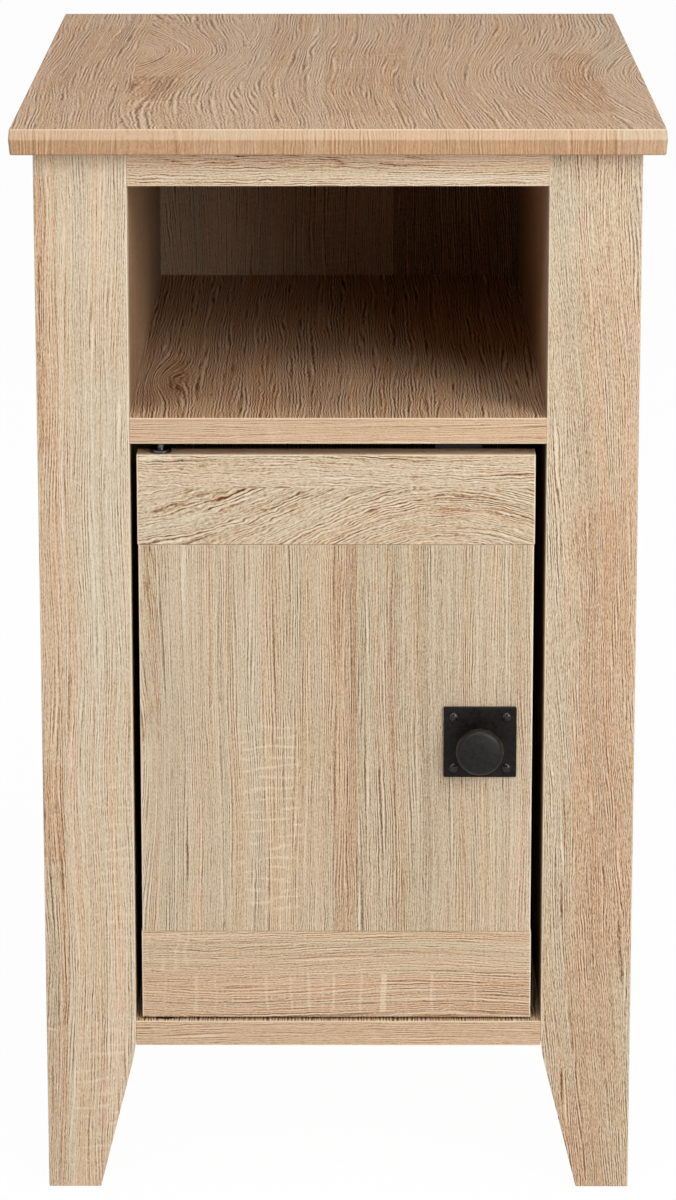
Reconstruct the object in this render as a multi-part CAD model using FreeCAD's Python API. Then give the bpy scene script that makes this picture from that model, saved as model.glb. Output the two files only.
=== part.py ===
"""Storage side table: open cubby above, compartment with a pivot-hung door below.

Units are millimetres. X runs to the right, Y from the front to the back, Z up.
The origin is on the floor, under the middle of the whole outline, knob included.
"""
import FreeCAD, Part
import math
import os

from FreeCAD import Placement, Rotation, Vector

# ---------------------------------------------------------------- driving dimensions
TABLE_HEIGHT = 670.5
TOP_WIDTH = 388.0
TOP_DEPTH = 508.0
BOARD = 15.9                    # thickness of every laminated board
TOP_OVERHANG = 13.4             # of the top beyond the legs, on all four sides
EDGE_ROUND = 0.5                # eased edges of the boards
FIT = 0.05                      # gap round a cam lock in its pocket
BORE_SPARE = 0.2                # how much deeper a blind hole is than what sits in it

TOP_EDGE_BREAK = 6.6            # below the top face, where its edge stands out furthest
TOP_LEAN_UPPER = 0.6            # how far the edge leans back at the top face
TOP_LEAN_LOWER = 0.8            # and at the underside
TOP_RIM_ROUND = 1.2

LEG_WIDTH = 55.3
FOOT_WIDTH = 32.4
LEG_TAPER_START = 92.0          # height where the inner edge leaves the upright
LEG_TAPER_BLEND = 90.0          # radius of the soft turn into the taper
RAIL_HEIGHT = 20.6

BASE_SHELF_TOP = 109.5
MIDDLE_SHELF_TOP = 493.0
BACK_PANEL_SETBACK = 441.6      # from the legs' front to the back panel's face
BACK_PANEL_THICK = 3.2
BACK_PANEL_SLACK = 0.2
BACK_GROOVE_DEEP = 5.0

DOOR_WIDTH = 240.2
DOOR_BOTTOM = 111.1
DOOR_TOP = 469.7
DOOR_RECESS = 3.0               # from the legs' front to the door's face
DOOR_LEFT_GAP = 4.0
DOOR_RAIL_HEIGHT = 56.0
DOOR_PANEL_NARROWER = 0.5       # the middle board is shorter at each side
DOOR_JOINT = 0.1                # hairline between the door's boards

PIVOT_FROM_EDGE = 14.3          # from the door's left edge
PIN_RADIUS = 2.5
PIN_CLEARANCE = 0.06
PIN_FLANGE_RADIUS = 6.45
PIN_FLANGE_THICK = 2.2
PIN_IN_SHELF = 6.0              # how far a pin enters the shelf
PIN_LIFT = 0.3                  # between the lower pin's flange and its socket
PIN_CHAMFER = 0.8
BARREL_RADIUS = 4.0
BARREL_LENGTH = 20.0
SOCKET_RADIUS = 4.5
SOCKET_FLANGE_RADIUS = 7.5
SOCKET_FLANGE_THICK = 1.2
SOCKET_LENGTH = 10.0
SOCKET_FLOOR = 1.5

PLATE_SIDE = 44.45
PLATE_THICK = 2.4
PLATE_EDGE_ROUND = 0.6
PLATE_FROM_CENTRE = 86.6        # to the right of the table's middle
PLATE_HEIGHT = 289.6
PLATE_SCREW_SPACING = 32.4
KNOB_FROM_CENTRE = 85.9         # the knob sits a little off the middle of its plate
KNOB_HEIGHT = 289.1
KNOB_RADIUS = 14.5
KNOB_REACH = 25.0               # from the door's face to the knob's crown
KNOB_NECK_RADIUS = 6.2
KNOB_SCREW_RADIUS = 2.0
KNOB_SCREW_HEAD = 4.6
KNOB_SCREW_BITE = 12.0          # length inside the knob

CAM_RADIUS = 7.5
CAM_THICK = 12.4
CAM_CROSS = 3.6                 # half the length of the driver cross
CAM_FROM_END = 33.6             # from a board's end to the middle of its cam
SHELF_CAM_INSET = 60.0          # from a shelf's front and back edges
TOP_CAM_INSET = 110.0           # from the legs' front and rear faces
BOLT_HEAD_RADIUS = 2.8
BOLT_NECK_RADIUS = 1.7
BOLT_SHANK_RADIUS = 3.0
BOLT_THREAD_RADIUS = 2.5
BOLT_THREAD_LENGTH = 11.0

DOWEL_RADIUS = 4.0
DOWEL_LENGTH = 28.0
DOWEL_IN_LEG = 9.0
DOWEL_HEIGHTS = (150.0, 370.0, 590.0)
THIN_DOWEL_RADIUS = 3.0
THIN_DOWEL_LENGTH = 24.0
DOOR_DOWEL_INSET = 38.0

NAIL_SHANK_RADIUS = 0.7
NAIL_HEAD_RADIUS = 2.6
NAIL_HEAD_THICK = 1.0
NAIL_LENGTH = 19.0
NAIL_SPACING = 95.0

SCREW_LENGTH = 12.0
SCREW_SHANK_RADIUS = 1.5
CROSS_HALF_WIDTH = 0.5          # of the slots in screw heads and cams

CATCH_FROM_DOOR_EDGE = 46.0     # middle of the catch, from the door's right edge
CATCH_WIDTH = 45.0
CATCH_DEEP = 14.0
CATCH_TALL = 15.0
CATCH_FOOT = 3.0
CATCH_GAP = 0.5
CATCH_SCREW_SPACING = 34.0
MAGNET_WIDTH = 24.0
MAGNET_DEEP = 11.0
MAGNET_TALL = 6.0
MAGNET_DROP = 13.0              # from the shelf's underside to the magnet's lower face
STRIKE_WIDTH = 28.0
STRIKE_TALL = 15.6
STRIKE_THICK = 1.2
STRIKE_BELOW_DOOR_TOP = 1.0

# ---------------------------------------------------------------- places worked out from them
HALF_TOP = TOP_WIDTH / 2
HALF_BODY = HALF_TOP - TOP_OVERHANG
HALF_OPENING = HALF_BODY - LEG_WIDTH
BODY_DEPTH = TOP_DEPTH - 2 * TOP_OVERHANG
BODY_TOP = TABLE_HEIGHT - BOARD
KNOB_BEFORE_LEGS = KNOB_REACH - DOOR_RECESS
FRONT = (KNOB_BEFORE_LEGS - TOP_OVERHANG - BODY_DEPTH) / 2
REAR = FRONT + BODY_DEPTH
MIDDLE_Y = (FRONT + REAR) / 2
LEG_BACK = FRONT + BOARD
REAR_LEG_FACE = REAR - BOARD
BACK_FACE = FRONT + BACK_PANEL_SETBACK
BACK_REAR = BACK_FACE + BACK_PANEL_THICK
BASE_SHELF_UNDER = BASE_SHELF_TOP - BOARD
MIDDLE_SHELF_UNDER = MIDDLE_SHELF_TOP - BOARD
RAIL_UNDER = BODY_TOP - RAIL_HEIGHT
RAIL_MIDDLE = BODY_TOP - RAIL_HEIGHT / 2
PANEL_OUTSIDE = HALF_OPENING + BOARD
RETURN_LENGTH = LEG_WIDTH - BOARD

DOOR_LEFT = -HALF_OPENING + DOOR_LEFT_GAP
DOOR_RIGHT = DOOR_LEFT + DOOR_WIDTH
DOOR_FACE = FRONT + DOOR_RECESS
DOOR_BACK = DOOR_FACE + BOARD
DOOR_MIDDLE = DOOR_FACE + BOARD / 2
LOW_JOINT = DOOR_BOTTOM + DOOR_RAIL_HEIGHT
HIGH_JOINT = DOOR_TOP - DOOR_RAIL_HEIGHT
PIVOT = Vector(DOOR_LEFT + PIVOT_FROM_EDGE, DOOR_MIDDLE, 0)
PLATE_CENTRE = Vector(PLATE_FROM_CENTRE, DOOR_FACE, PLATE_HEIGHT)
KNOB_FOOT = Vector(KNOB_FROM_CENTRE, DOOR_FACE - PLATE_THICK, KNOB_HEIGHT)
KNOB_SCREW_SPOT = Vector(KNOB_FROM_CENTRE, DOOR_BACK, KNOB_HEIGHT)
KNOB_SCREW_LENGTH = BOARD + PLATE_THICK + KNOB_SCREW_BITE

CATCH_X = DOOR_RIGHT - CATCH_FROM_DOOR_EDGE
CATCH_FRONT = DOOR_BACK + STRIKE_THICK + CATCH_GAP
MAGNET_LOW = MIDDLE_SHELF_UNDER - MAGNET_DROP
STRIKE_HIGH = DOOR_TOP - STRIKE_BELOW_DOOR_TOP
STRIKE_LOW = STRIKE_HIGH - STRIKE_TALL
STRIKE_SCREW_SPOT = Vector(CATCH_X, DOOR_BACK + STRIKE_THICK, STRIKE_LOW + 5.0)

SIDES = (("left", -1), ("right", 1))
ORIGIN = Vector(0, 0, 0)
X_AXIS, Y_AXIS, Z_AXIS = Vector(1, 0, 0), Vector(0, 1, 0), Vector(0, 0, 1)


# ---------------------------------------------------------------- shape helpers
def block(x0, x1, y0, y1, z0, z1):
    """Box between two values on each axis, given in any order."""
    low = Vector(min(x0, x1), min(y0, y1), min(z0, z1))
    return Part.makeBox(abs(x1 - x0), abs(y1 - y0), abs(z1 - z0), low)


def eased(solid):
    """Round every edge of a board a little."""
    return solid.makeFillet(EDGE_ROUND, solid.Edges)


def board(x0, x1, y0, y1, z0, z1):
    """Rectangular board with eased edges."""
    return eased(block(x0, x1, y0, y1, z0, z1))


def rod(radius, length, start, direction):
    """Plain cylinder."""
    return Part.makeCylinder(radius, length, start, direction)


def turned(points, start, direction):
    """Solid of revolution from (radius, height) points.

    A point with two more values is reached by an arc through (third, fourth).
    """
    corners = [Vector(point[0], 0, point[1]) for point in points]
    edges = [Part.makeLine(corners[-1], corners[0])]
    for point, here, there in zip(points[1:], corners, corners[1:]):
        if len(point) == 4:
            arc = Part.Arc(here, Vector(point[2], 0, point[3]), there)
            edges += arc.toShape().toNurbs().Edges
        else:
            edges.append(Part.makeLine(here, there))
    solid = Part.Face(Part.Wire(edges)).revolve(ORIGIN, Z_AXIS, 360)
    solid.Placement = Placement(start, Rotation(Z_AXIS, direction))
    return solid


def driver_cross(face, into, reach, depth):
    """Two crossed slots for a screwdriver, cut into a face in the direction into."""
    way = X_AXIS if abs(into.x) < 0.5 else Y_AXIS
    across = into.cross(way)
    slots = []
    for run, other in ((way, across), (across, way)):
        side = other * CROSS_HALF_WIDTH
        corners = [face + run * reach + side, face + run * reach - side,
                   face - run * reach - side, face - run * reach + side]
        outline = Part.makePolygon(corners + corners[:1])
        slots.append(Part.Face(outline).extrude(into * depth))
    return Part.Compound(slots)


def cut_all(solid, tools):
    """Take every tool away from a solid."""
    return solid.cut(Part.Compound(tools))


def save(name, shape):
    """Write one node."""
    shape.exportStep(f"parts/{name}.step")


def save_group(name, solids):
    """Write one node of separate solids."""
    save(name, Part.Compound(solids))


# ---------------------------------------------------------------- fasteners
class Cam:
    """Cam lock in one board and the bolt that it pulls, screwed into the next board.

    mouth is the middle of the cam's open face, drop the direction into its board and
    pull the direction from the cam to the board that holds the bolt.
    """

    def __init__(self, mouth, drop, pull):
        self.mouth = mouth
        self.drop = drop
        self.pull = pull
        self.heart = mouth + drop * (BOARD / 2)
        self.next_face = self.heart + pull * CAM_FROM_END

    def lock(self):
        """Round lock with its driver cross and the hollow for the bolt's head."""
        body = rod(CAM_RADIUS - FIT, CAM_THICK, self.mouth, self.drop)
        hollow_start = self.heart - self.pull * CAM_CROSS
        hollow = rod(CAM_CROSS, 2 * CAM_RADIUS, hollow_start, self.pull)
        return body.cut(hollow).cut(driver_cross(self.mouth, self.drop, CAM_CROSS, 1.8))

    def bolt(self):
        """Bolt: head in the cam, shank in the board's end, thread in the next board."""
        start = self.heart - self.pull * BOLT_HEAD_RADIUS
        face = CAM_FROM_END + BOLT_HEAD_RADIUS
        tip = face + BOLT_THREAD_LENGTH
        points = [(0, 0), (BOLT_HEAD_RADIUS, 0), (BOLT_HEAD_RADIUS, 2.2), (BOLT_NECK_RADIUS, 2.9),
                  (BOLT_NECK_RADIUS, 6.0), (BOLT_SHANK_RADIUS, 7.2), (BOLT_SHANK_RADIUS, face - 0.1),
                  (BOLT_THREAD_RADIUS, face), (BOLT_THREAD_RADIUS, tip - 1.5), (1.2, tip), (0, tip)]
        return turned(points, start, self.pull)

    def own_holes(self):
        """Holes in the cam's own board: the pocket, and the way in for the bolt."""
        pocket = rod(CAM_RADIUS, CAM_THICK + BORE_SPARE, self.mouth, self.drop)
        way_in = rod(BOLT_SHANK_RADIUS + 0.3, CAM_FROM_END, self.heart, self.pull)
        return [pocket, way_in]

    def thread_hole(self):
        """Hole in the board that the bolt is screwed into."""
        depth = BOLT_THREAD_LENGTH + BORE_SPARE
        return rod(BOLT_THREAD_RADIUS, depth, self.next_face, self.pull)


def dowel(start, direction, radius=DOWEL_RADIUS, length=DOWEL_LENGTH):
    """Dowel with chamfered ends; the same shape is its hole."""
    chamfer = radius / 4
    points = [(0, 0), (radius - chamfer, 0), (radius, chamfer), (radius, length - chamfer),
              (radius - chamfer, length), (0, length)]
    return turned(points, start, direction)


def domed_screw(seat, direction, head_radius=3.0):
    """Wood screw with a domed cross head, whose underside is at seat."""
    dome = head_radius * 0.55
    points = [(0, -dome), (head_radius, 0, head_radius * 0.72, -dome * 0.72),
              (SCREW_SHANK_RADIUS, 0), (SCREW_SHANK_RADIUS, SCREW_LENGTH - 2.2),
              (0.15, SCREW_LENGTH), (0, SCREW_LENGTH)]
    crown = seat - direction * dome
    cross = driver_cross(crown, direction, head_radius * 0.62, dome * 0.6)
    return turned(points, seat, direction).cut(cross)


def screw_hole(seat, direction):
    """Hole that a wood screw's shank fills."""
    return rod(SCREW_SHANK_RADIUS, SCREW_LENGTH, seat, direction)


def shelf_cams(under):
    """Four cams in the underside of a shelf, two at each end."""
    cams = []
    for _, side in SIDES:
        for y in (FRONT + SHELF_CAM_INSET, BACK_FACE - SHELF_CAM_INSET):
            mouth = Vector(side * (HALF_OPENING - CAM_FROM_END), y, under)
            cams.append(Cam(mouth, Z_AXIS, X_AXIS * side))
    return cams


def top_cams():
    """Two cams in the outer face of each side panel, with bolts up into the top."""
    cams = []
    for _, side in SIDES:
        for y in (FRONT + TOP_CAM_INSET, REAR - TOP_CAM_INSET):
            mouth = Vector(side * PANEL_OUTSIDE, y, BODY_TOP - CAM_FROM_END)
            cams.append(Cam(mouth, X_AXIS * -side, Z_AXIS))
    return cams


def leg_dowels():
    """Dowels from the leg boards into the side panels and into the return boards."""
    dowels = []
    for _, side in SIDES:
        for x in (side * (HALF_OPENING + BOARD / 2), side * (HALF_BODY - BOARD / 2)):
            for z in DOWEL_HEIGHTS:
                dowels.append(dowel(Vector(x, LEG_BACK - DOWEL_IN_LEG, z), Y_AXIS))
                dowels.append(dowel(Vector(x, REAR_LEG_FACE + DOWEL_IN_LEG, z), -Y_AXIS))
    return dowels


def rail_dowels():
    """One dowel through each end of every rail."""
    half = THIN_DOWEL_LENGTH / 2
    spots = []
    for _, side in SIDES:
        way = X_AXIS * side
        x = side * (HALF_BODY - BOARD / 2)
        spots += [(Vector(side * HALF_OPENING, FRONT + BOARD / 2, RAIL_MIDDLE), way),
                  (Vector(side * HALF_OPENING, REAR - BOARD / 2, RAIL_MIDDLE), way),
                  (Vector(x, FRONT + LEG_WIDTH, RAIL_MIDDLE), Y_AXIS),
                  (Vector(x, REAR - LEG_WIDTH, RAIL_MIDDLE), Y_AXIS)]
    return [dowel(joint - way * half, way, THIN_DOWEL_RADIUS, THIN_DOWEL_LENGTH) for joint, way in spots]


def door_dowels():
    """Dowels that join the door's rails to its middle board."""
    half = THIN_DOWEL_LENGTH / 2
    xs = (DOOR_LEFT + DOOR_DOWEL_INSET, (DOOR_LEFT + DOOR_RIGHT) / 2, DOOR_RIGHT - DOOR_DOWEL_INSET)
    return [dowel(Vector(x, DOOR_MIDDLE, z - half), Z_AXIS, THIN_DOWEL_RADIUS, THIN_DOWEL_LENGTH)
            for z in (LOW_JOINT, HIGH_JOINT) for x in xs]


def nail_spots():
    """Where nails go through the back panel into the shelves' rear edges."""
    heights = (MIDDLE_SHELF_TOP - BOARD / 2, BASE_SHELF_TOP - BOARD / 2)
    return [Vector(x, BACK_REAR, z) for z in heights for x in (-NAIL_SPACING, 0, NAIL_SPACING)]


def nail(spot):
    """Nail with a thin flat head, driven towards the front."""
    points = [(0, -NAIL_HEAD_THICK), (NAIL_HEAD_RADIUS, -NAIL_HEAD_THICK), (NAIL_HEAD_RADIUS, 0),
              (NAIL_SHANK_RADIUS, 0), (NAIL_SHANK_RADIUS, NAIL_LENGTH - 2), (0.1, NAIL_LENGTH),
              (0, NAIL_LENGTH)]
    return turned(points, spot, -Y_AXIS)


def nail_holes():
    """Holes that the nails' shanks fill."""
    return [rod(NAIL_SHANK_RADIUS, NAIL_LENGTH, spot, -Y_AXIS) for spot in nail_spots()]


MIDDLE_CAMS = shelf_cams(MIDDLE_SHELF_UNDER)
BASE_CAMS = shelf_cams(BASE_SHELF_UNDER)
TOP_CAMS = top_cams()


# ---------------------------------------------------------------- cabinet boards
def tapered_board(width, foot):
    """Board on its outer lower corner, its inner edge tapering to the foot; faces +Y."""
    slope = math.atan2(width - foot, LEG_TAPER_START)
    tangent = LEG_TAPER_BLEND * math.tan(slope / 2)
    blend_top = LEG_TAPER_START + tangent
    turn_top = Vector(width, 0, blend_top)
    turn_middle = Vector(width - LEG_TAPER_BLEND * (1 - math.cos(slope / 2)), 0,
                         blend_top - LEG_TAPER_BLEND * math.sin(slope / 2))
    turn_end = Vector(width - tangent * math.sin(slope), 0, LEG_TAPER_START - tangent * math.cos(slope))
    outer_top, outer_foot = Vector(0, 0, BODY_TOP), ORIGIN
    inner_foot, inner_top = Vector(foot, 0, 0), Vector(width, 0, BODY_TOP)
    edges = [Part.makeLine(outer_top, outer_foot), Part.makeLine(outer_foot, inner_foot),
             Part.makeLine(inner_foot, turn_end), Part.Arc(turn_end, turn_middle, turn_top).toShape(),
             Part.makeLine(turn_top, inner_top), Part.makeLine(inner_top, outer_top)]
    return eased(Part.Face(Part.Wire(edges)).extrude(Y_AXIS * BOARD))


def at_corner(solid, side, rear):
    """Mirror a left front piece to another corner of the table."""
    if side > 0:
        solid = solid.mirror(ORIGIN, X_AXIS)
    if rear:
        solid = solid.mirror(Vector(0, MIDDLE_Y, 0), Y_AXIS)
    return solid


def make_legs(holes):
    """Four leg boards, and behind each the return board that makes the leg an L."""
    leg = tapered_board(LEG_WIDTH, FOOT_WIDTH)
    leg.translate(Vector(-HALF_BODY, FRONT, 0))
    leg_return = tapered_board(RETURN_LENGTH, FOOT_WIDTH - BOARD)
    leg_return.Placement = Placement(Vector(BOARD - HALF_BODY, LEG_BACK, 0), Rotation(Z_AXIS, 90))
    for side_name, side in SIDES:
        for row, rear in (("front", False), ("rear", True)):
            save(f"{side_name}_{row}_leg", cut_all(at_corner(leg, side, rear), holes))
            save(f"{side_name}_{row}_leg_return", cut_all(at_corner(leg_return, side, rear), holes))


def top_layer(low, low_inset, high, high_inset):
    """Layer of the top board whose outline shrinks by one inset below and another above."""
    x, y = HALF_TOP, TOP_DEPTH / 2
    layer = Part.makeWedge(low_inset - x, 0, low_inset - y, high_inset - y, high_inset - x,
                           x - low_inset, high - low, y - low_inset, y - high_inset, x - high_inset)
    layer.Placement = Placement(Vector(0, MIDDLE_Y, low), Rotation(X_AXIS, 90))
    return layer


def make_top():
    """Top board with a shallow two-faced edge all round."""
    widest = TABLE_HEIGHT - TOP_EDGE_BREAK
    lower = top_layer(BODY_TOP, TOP_LEAN_LOWER, widest, 0)
    upper = top_layer(widest, 0, TABLE_HEIGHT, TOP_LEAN_UPPER)
    solid = lower.fuse(upper)
    at_break = [abs(e.BoundBox.ZMin - widest) + abs(e.BoundBox.ZMax - widest) < 0.1 for e in solid.Edges]
    rims = [edge for edge, skip in zip(solid.Edges, at_break) if not skip]
    solid = solid.makeFillet(TOP_RIM_ROUND, rims)
    save("top_board", cut_all(solid, [cam.thread_hole() for cam in TOP_CAMS]))


def make_rails(holes):
    """Front and rear rails between the legs, side rails between the return boards."""
    front = board(-HALF_OPENING, HALF_OPENING, FRONT, LEG_BACK, RAIL_UNDER, BODY_TOP)
    rear = board(-HALF_OPENING, HALF_OPENING, REAR_LEG_FACE, REAR, RAIL_UNDER, BODY_TOP)
    save("front_rail", cut_all(front, holes))
    save("rear_rail", cut_all(rear, holes))
    for name, side in SIDES:
        rail = board(side * (HALF_BODY - BOARD), side * HALF_BODY,
                     FRONT + LEG_WIDTH, REAR - LEG_WIDTH, RAIL_UNDER, BODY_TOP)
        save(f"{name}_side_rail", cut_all(rail, holes))


def make_side_panels(holes):
    """Inner side panels, grooved for the back panel."""
    groove_reach = HALF_OPENING + BACK_GROOVE_DEEP
    groove = block(-groove_reach, groove_reach, BACK_FACE, BACK_REAR, 0, TABLE_HEIGHT)
    holes = holes + [groove] + [cam.thread_hole() for cam in MIDDLE_CAMS + BASE_CAMS]
    for cam in TOP_CAMS:
        holes += cam.own_holes()
    for name, side in SIDES:
        panel = board(side * HALF_OPENING, side * PANEL_OUTSIDE,
                      LEG_BACK, REAR_LEG_FACE, BASE_SHELF_UNDER, BODY_TOP)
        save(f"{name}_side_panel", cut_all(panel, holes))


def make_shelf(name, top, cams, fittings):
    """Shelf between the side panels, from the legs' front to the back panel."""
    shelf = board(-HALF_OPENING, HALF_OPENING, FRONT, BACK_FACE, top - BOARD, top)
    holes = [tool for cam in cams for tool in cam.own_holes()]
    save(name, cut_all(shelf, holes + nail_holes() + fittings))


def make_back_panel():
    """Thin back panel in the side panels' grooves."""
    reach = HALF_OPENING + BACK_GROOVE_DEEP - BACK_PANEL_SLACK
    high = BODY_TOP - BACK_PANEL_SLACK
    panel = block(-reach, reach, BACK_FACE, BACK_REAR, BASE_SHELF_UNDER, high)
    save("back_panel", cut_all(panel, nail_holes()))


# ---------------------------------------------------------------- door pivots
class Pivot:
    """One of the door's two pivots: a pin in the door that turns in a socket in a shelf."""

    def __init__(self, name, shelf_face, door_end, out):
        self.name = name
        self.out = out
        self.shelf_point = PIVOT + Z_AXIS * shelf_face
        self.door_point = PIVOT + Z_AXIS * door_end
        self.gap = abs(shelf_face - door_end)
        self.on_door = self.out.z < 0

    def socket_outline(self):
        """Outer shape of the socket, which is also its hole; the lower one is sunk flush."""
        start = self.shelf_point if self.on_door else self.shelf_point - self.out * SOCKET_FLANGE_THICK
        flange = rod(SOCKET_FLANGE_RADIUS, SOCKET_FLANGE_THICK, start, self.out)
        return flange.fuse(rod(SOCKET_RADIUS, SOCKET_LENGTH, start, self.out))

    def save_socket(self):
        """Write the socket, bored for the pin."""
        start = self.shelf_point - self.out * SOCKET_FLANGE_THICK
        bore_length = SOCKET_LENGTH - SOCKET_FLOOR + (SOCKET_FLANGE_THICK if self.on_door else 0)
        bore = rod(PIN_RADIUS + PIN_CLEARANCE, bore_length, start, self.out)
        save(f"{self.name}_pivot_socket", self.socket_outline().cut(bore))

    def save_pin(self):
        """Write the pin: barrel in the door, flange on the door's end, pin into the socket."""
        flange = self.gap - PIN_LIFT if self.on_door else PIN_FLANGE_THICK
        tip = self.gap + PIN_IN_SHELF
        points = [(0, -BARREL_LENGTH), (BARREL_RADIUS - PIN_CHAMFER, -BARREL_LENGTH),
                  (BARREL_RADIUS, PIN_CHAMFER - BARREL_LENGTH), (BARREL_RADIUS, 0),
                  (PIN_FLANGE_RADIUS, 0), (PIN_FLANGE_RADIUS, flange - PIN_CHAMFER / 2),
                  (PIN_FLANGE_RADIUS - PIN_CHAMFER / 2, flange), (PIN_RADIUS, flange),
                  (PIN_RADIUS, tip - PIN_CHAMFER), (PIN_RADIUS - PIN_CHAMFER, tip), (0, tip)]
        save(f"{self.name}_pivot_pin", turned(points, self.door_point, self.out))

    def barrel_hole(self):
        """Hole in the door's end for the pin's barrel."""
        return rod(BARREL_RADIUS, BARREL_LENGTH + BORE_SPARE, self.door_point, -self.out)


# ---------------------------------------------------------------- catch
def catch_screw_spots():
    """The two screws that hold the catch under the middle shelf."""
    y = CATCH_FRONT + CATCH_DEEP / 2
    half = CATCH_SCREW_SPACING / 2
    return [Vector(CATCH_X + way * half, y, MIDDLE_SHELF_UNDER - CATCH_FOOT) for way in (-1, 1)]


def catch_screw_holes():
    """Holes that the catch's screws fill."""
    return [screw_hole(spot, Z_AXIS) for spot in catch_screw_spots()]


def make_catch():
    """Magnetic catch under the middle shelf."""
    rear = CATCH_FRONT + CATCH_DEEP
    half_magnet = MAGNET_WIDTH / 2
    half_body = half_magnet + 2.0
    low = MIDDLE_SHELF_UNDER - CATCH_TALL
    magnet = block(CATCH_X - half_magnet, CATCH_X + half_magnet, CATCH_FRONT, CATCH_FRONT + MAGNET_DEEP,
                   MAGNET_LOW, MAGNET_LOW + MAGNET_TALL)
    foot = block(CATCH_X - CATCH_WIDTH / 2, CATCH_X + CATCH_WIDTH / 2, CATCH_FRONT + 1, rear,
                 MIDDLE_SHELF_UNDER - CATCH_FOOT, MIDDLE_SHELF_UNDER)
    body = block(CATCH_X - half_body, CATCH_X + half_body, CATCH_FRONT + 0.6, rear,
                 low, MIDDLE_SHELF_UNDER - CATCH_FOOT / 2)
    low_edges = [e for e in body.Edges if e.BoundBox.ZMax < low + 1 and e.BoundBox.XLength > 1]
    housing = foot.fuse(body.makeFillet(1.5, low_edges)).removeSplitter()
    save("door_catch_housing", cut_all(housing, [magnet] + catch_screw_holes()))
    save("door_catch_magnet", magnet)
    save_group("door_catch_screws", [domed_screw(spot, Z_AXIS) for spot in catch_screw_spots()])


def make_strike():
    """Thin steel plate on the door's back that the magnet holds, and its screw."""
    half = STRIKE_WIDTH / 2
    plate = block(CATCH_X - half, CATCH_X + half, DOOR_BACK, DOOR_BACK + STRIKE_THICK,
                  STRIKE_LOW, STRIKE_HIGH)
    corners = [e for e in plate.Edges if e.BoundBox.XLength < 0.01 and e.BoundBox.ZLength < 0.01]
    plate = plate.makeFillet(2.5, corners)
    save("strike_plate", plate.cut(screw_hole(STRIKE_SCREW_SPOT, -Y_AXIS)))
    save("strike_screw", domed_screw(STRIKE_SCREW_SPOT, -Y_AXIS, 2.6))


# ---------------------------------------------------------------- knob
def plate_screw_spots():
    """The four corners of the backplate where screws go in."""
    half = PLATE_SCREW_SPACING / 2
    front = PLATE_CENTRE - Y_AXIS * PLATE_THICK
    return [front + Vector(dx * half, 0, dz * half) for dx in (-1, 1) for dz in (-1, 1)]


def knob_holes():
    """Holes for the backplate's screws and for the knob's screw."""
    shanks = [screw_hole(spot, Y_AXIS) for spot in plate_screw_spots()]
    return shanks + [rod(KNOB_SCREW_RADIUS, KNOB_SCREW_LENGTH, KNOB_SCREW_SPOT, -Y_AXIS)]


def make_knob():
    """Backplate with its screws, and the round knob with its screw from inside."""
    x, y, z = PLATE_CENTRE
    half = PLATE_SIDE / 2
    plate = block(x - half, x + half, y - PLATE_THICK, y, z - half, z + half)
    front_edges = [e for e in plate.Edges if e.BoundBox.YMax < y - PLATE_THICK / 2]
    plate = plate.makeFillet(PLATE_EDGE_ROUND, front_edges)
    save("knob_backplate", cut_all(plate, knob_holes()))
    save_group("backplate_screws", [domed_screw(spot, Y_AXIS, 3.2) for spot in plate_screw_spots()])

    reach = KNOB_REACH - PLATE_THICK
    back, front = reach - 8.0, reach - 3.2
    neck = KNOB_NECK_RADIUS
    points = [(0, 0), (neck + 1.6, 0), (neck + 1.6, 1.0), (neck, 2.2, neck + 0.5, 1.4), (neck, 4.4),
              (KNOB_RADIUS - 0.5, back, KNOB_RADIUS - 3.4, back - 4.0),
              (KNOB_RADIUS - 0.5, front, KNOB_RADIUS, (back + front) / 2),
              (KNOB_RADIUS - 2.4, front + 1.9, KNOB_RADIUS - 1.2, front + 1.1),
              (0, reach, KNOB_RADIUS / 2, reach - 0.42)]
    knob = turned(points, KNOB_FOOT, -Y_AXIS)
    save("knob", cut_all(knob, knob_holes()))

    dome = 2.6
    flat = KNOB_SCREW_HEAD * 0.6
    points = [(0, -dome), (flat, -dome), (KNOB_SCREW_HEAD, -0.9, KNOB_SCREW_HEAD - 0.6, -2.0),
              (KNOB_SCREW_HEAD, 0), (KNOB_SCREW_RADIUS, 0), (KNOB_SCREW_RADIUS, KNOB_SCREW_LENGTH - 0.6),
              (KNOB_SCREW_RADIUS - 0.6, KNOB_SCREW_LENGTH), (0, KNOB_SCREW_LENGTH)]
    screw = turned(points, KNOB_SCREW_SPOT, -Y_AXIS)
    cross = driver_cross(KNOB_SCREW_SPOT + Y_AXIS * dome, -Y_AXIS, flat * 0.8, 1.2)
    save("knob_screw", screw.cut(cross))


# ---------------------------------------------------------------- door
def make_door(pivots):
    """The three boards of the door and the dowels between them."""
    dowels = door_dowels()
    holes = dowels + knob_holes() + [pivot.barrel_hole() for pivot in pivots]
    holes.append(screw_hole(STRIKE_SCREW_SPOT, -Y_AXIS))
    half_joint = DOOR_JOINT / 2
    boards = (("door_bottom_rail", 0, DOOR_BOTTOM, LOW_JOINT - half_joint),
              ("door_panel", DOOR_PANEL_NARROWER, LOW_JOINT + half_joint, HIGH_JOINT - half_joint),
              ("door_top_rail", 0, HIGH_JOINT + half_joint, DOOR_TOP))
    for name, inset, low, high in boards:
        solid = board(DOOR_LEFT + inset, DOOR_RIGHT - inset, DOOR_FACE, DOOR_BACK, low, high)
        save(name, cut_all(solid, holes))
    save_group("door_dowels", dowels)


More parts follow.
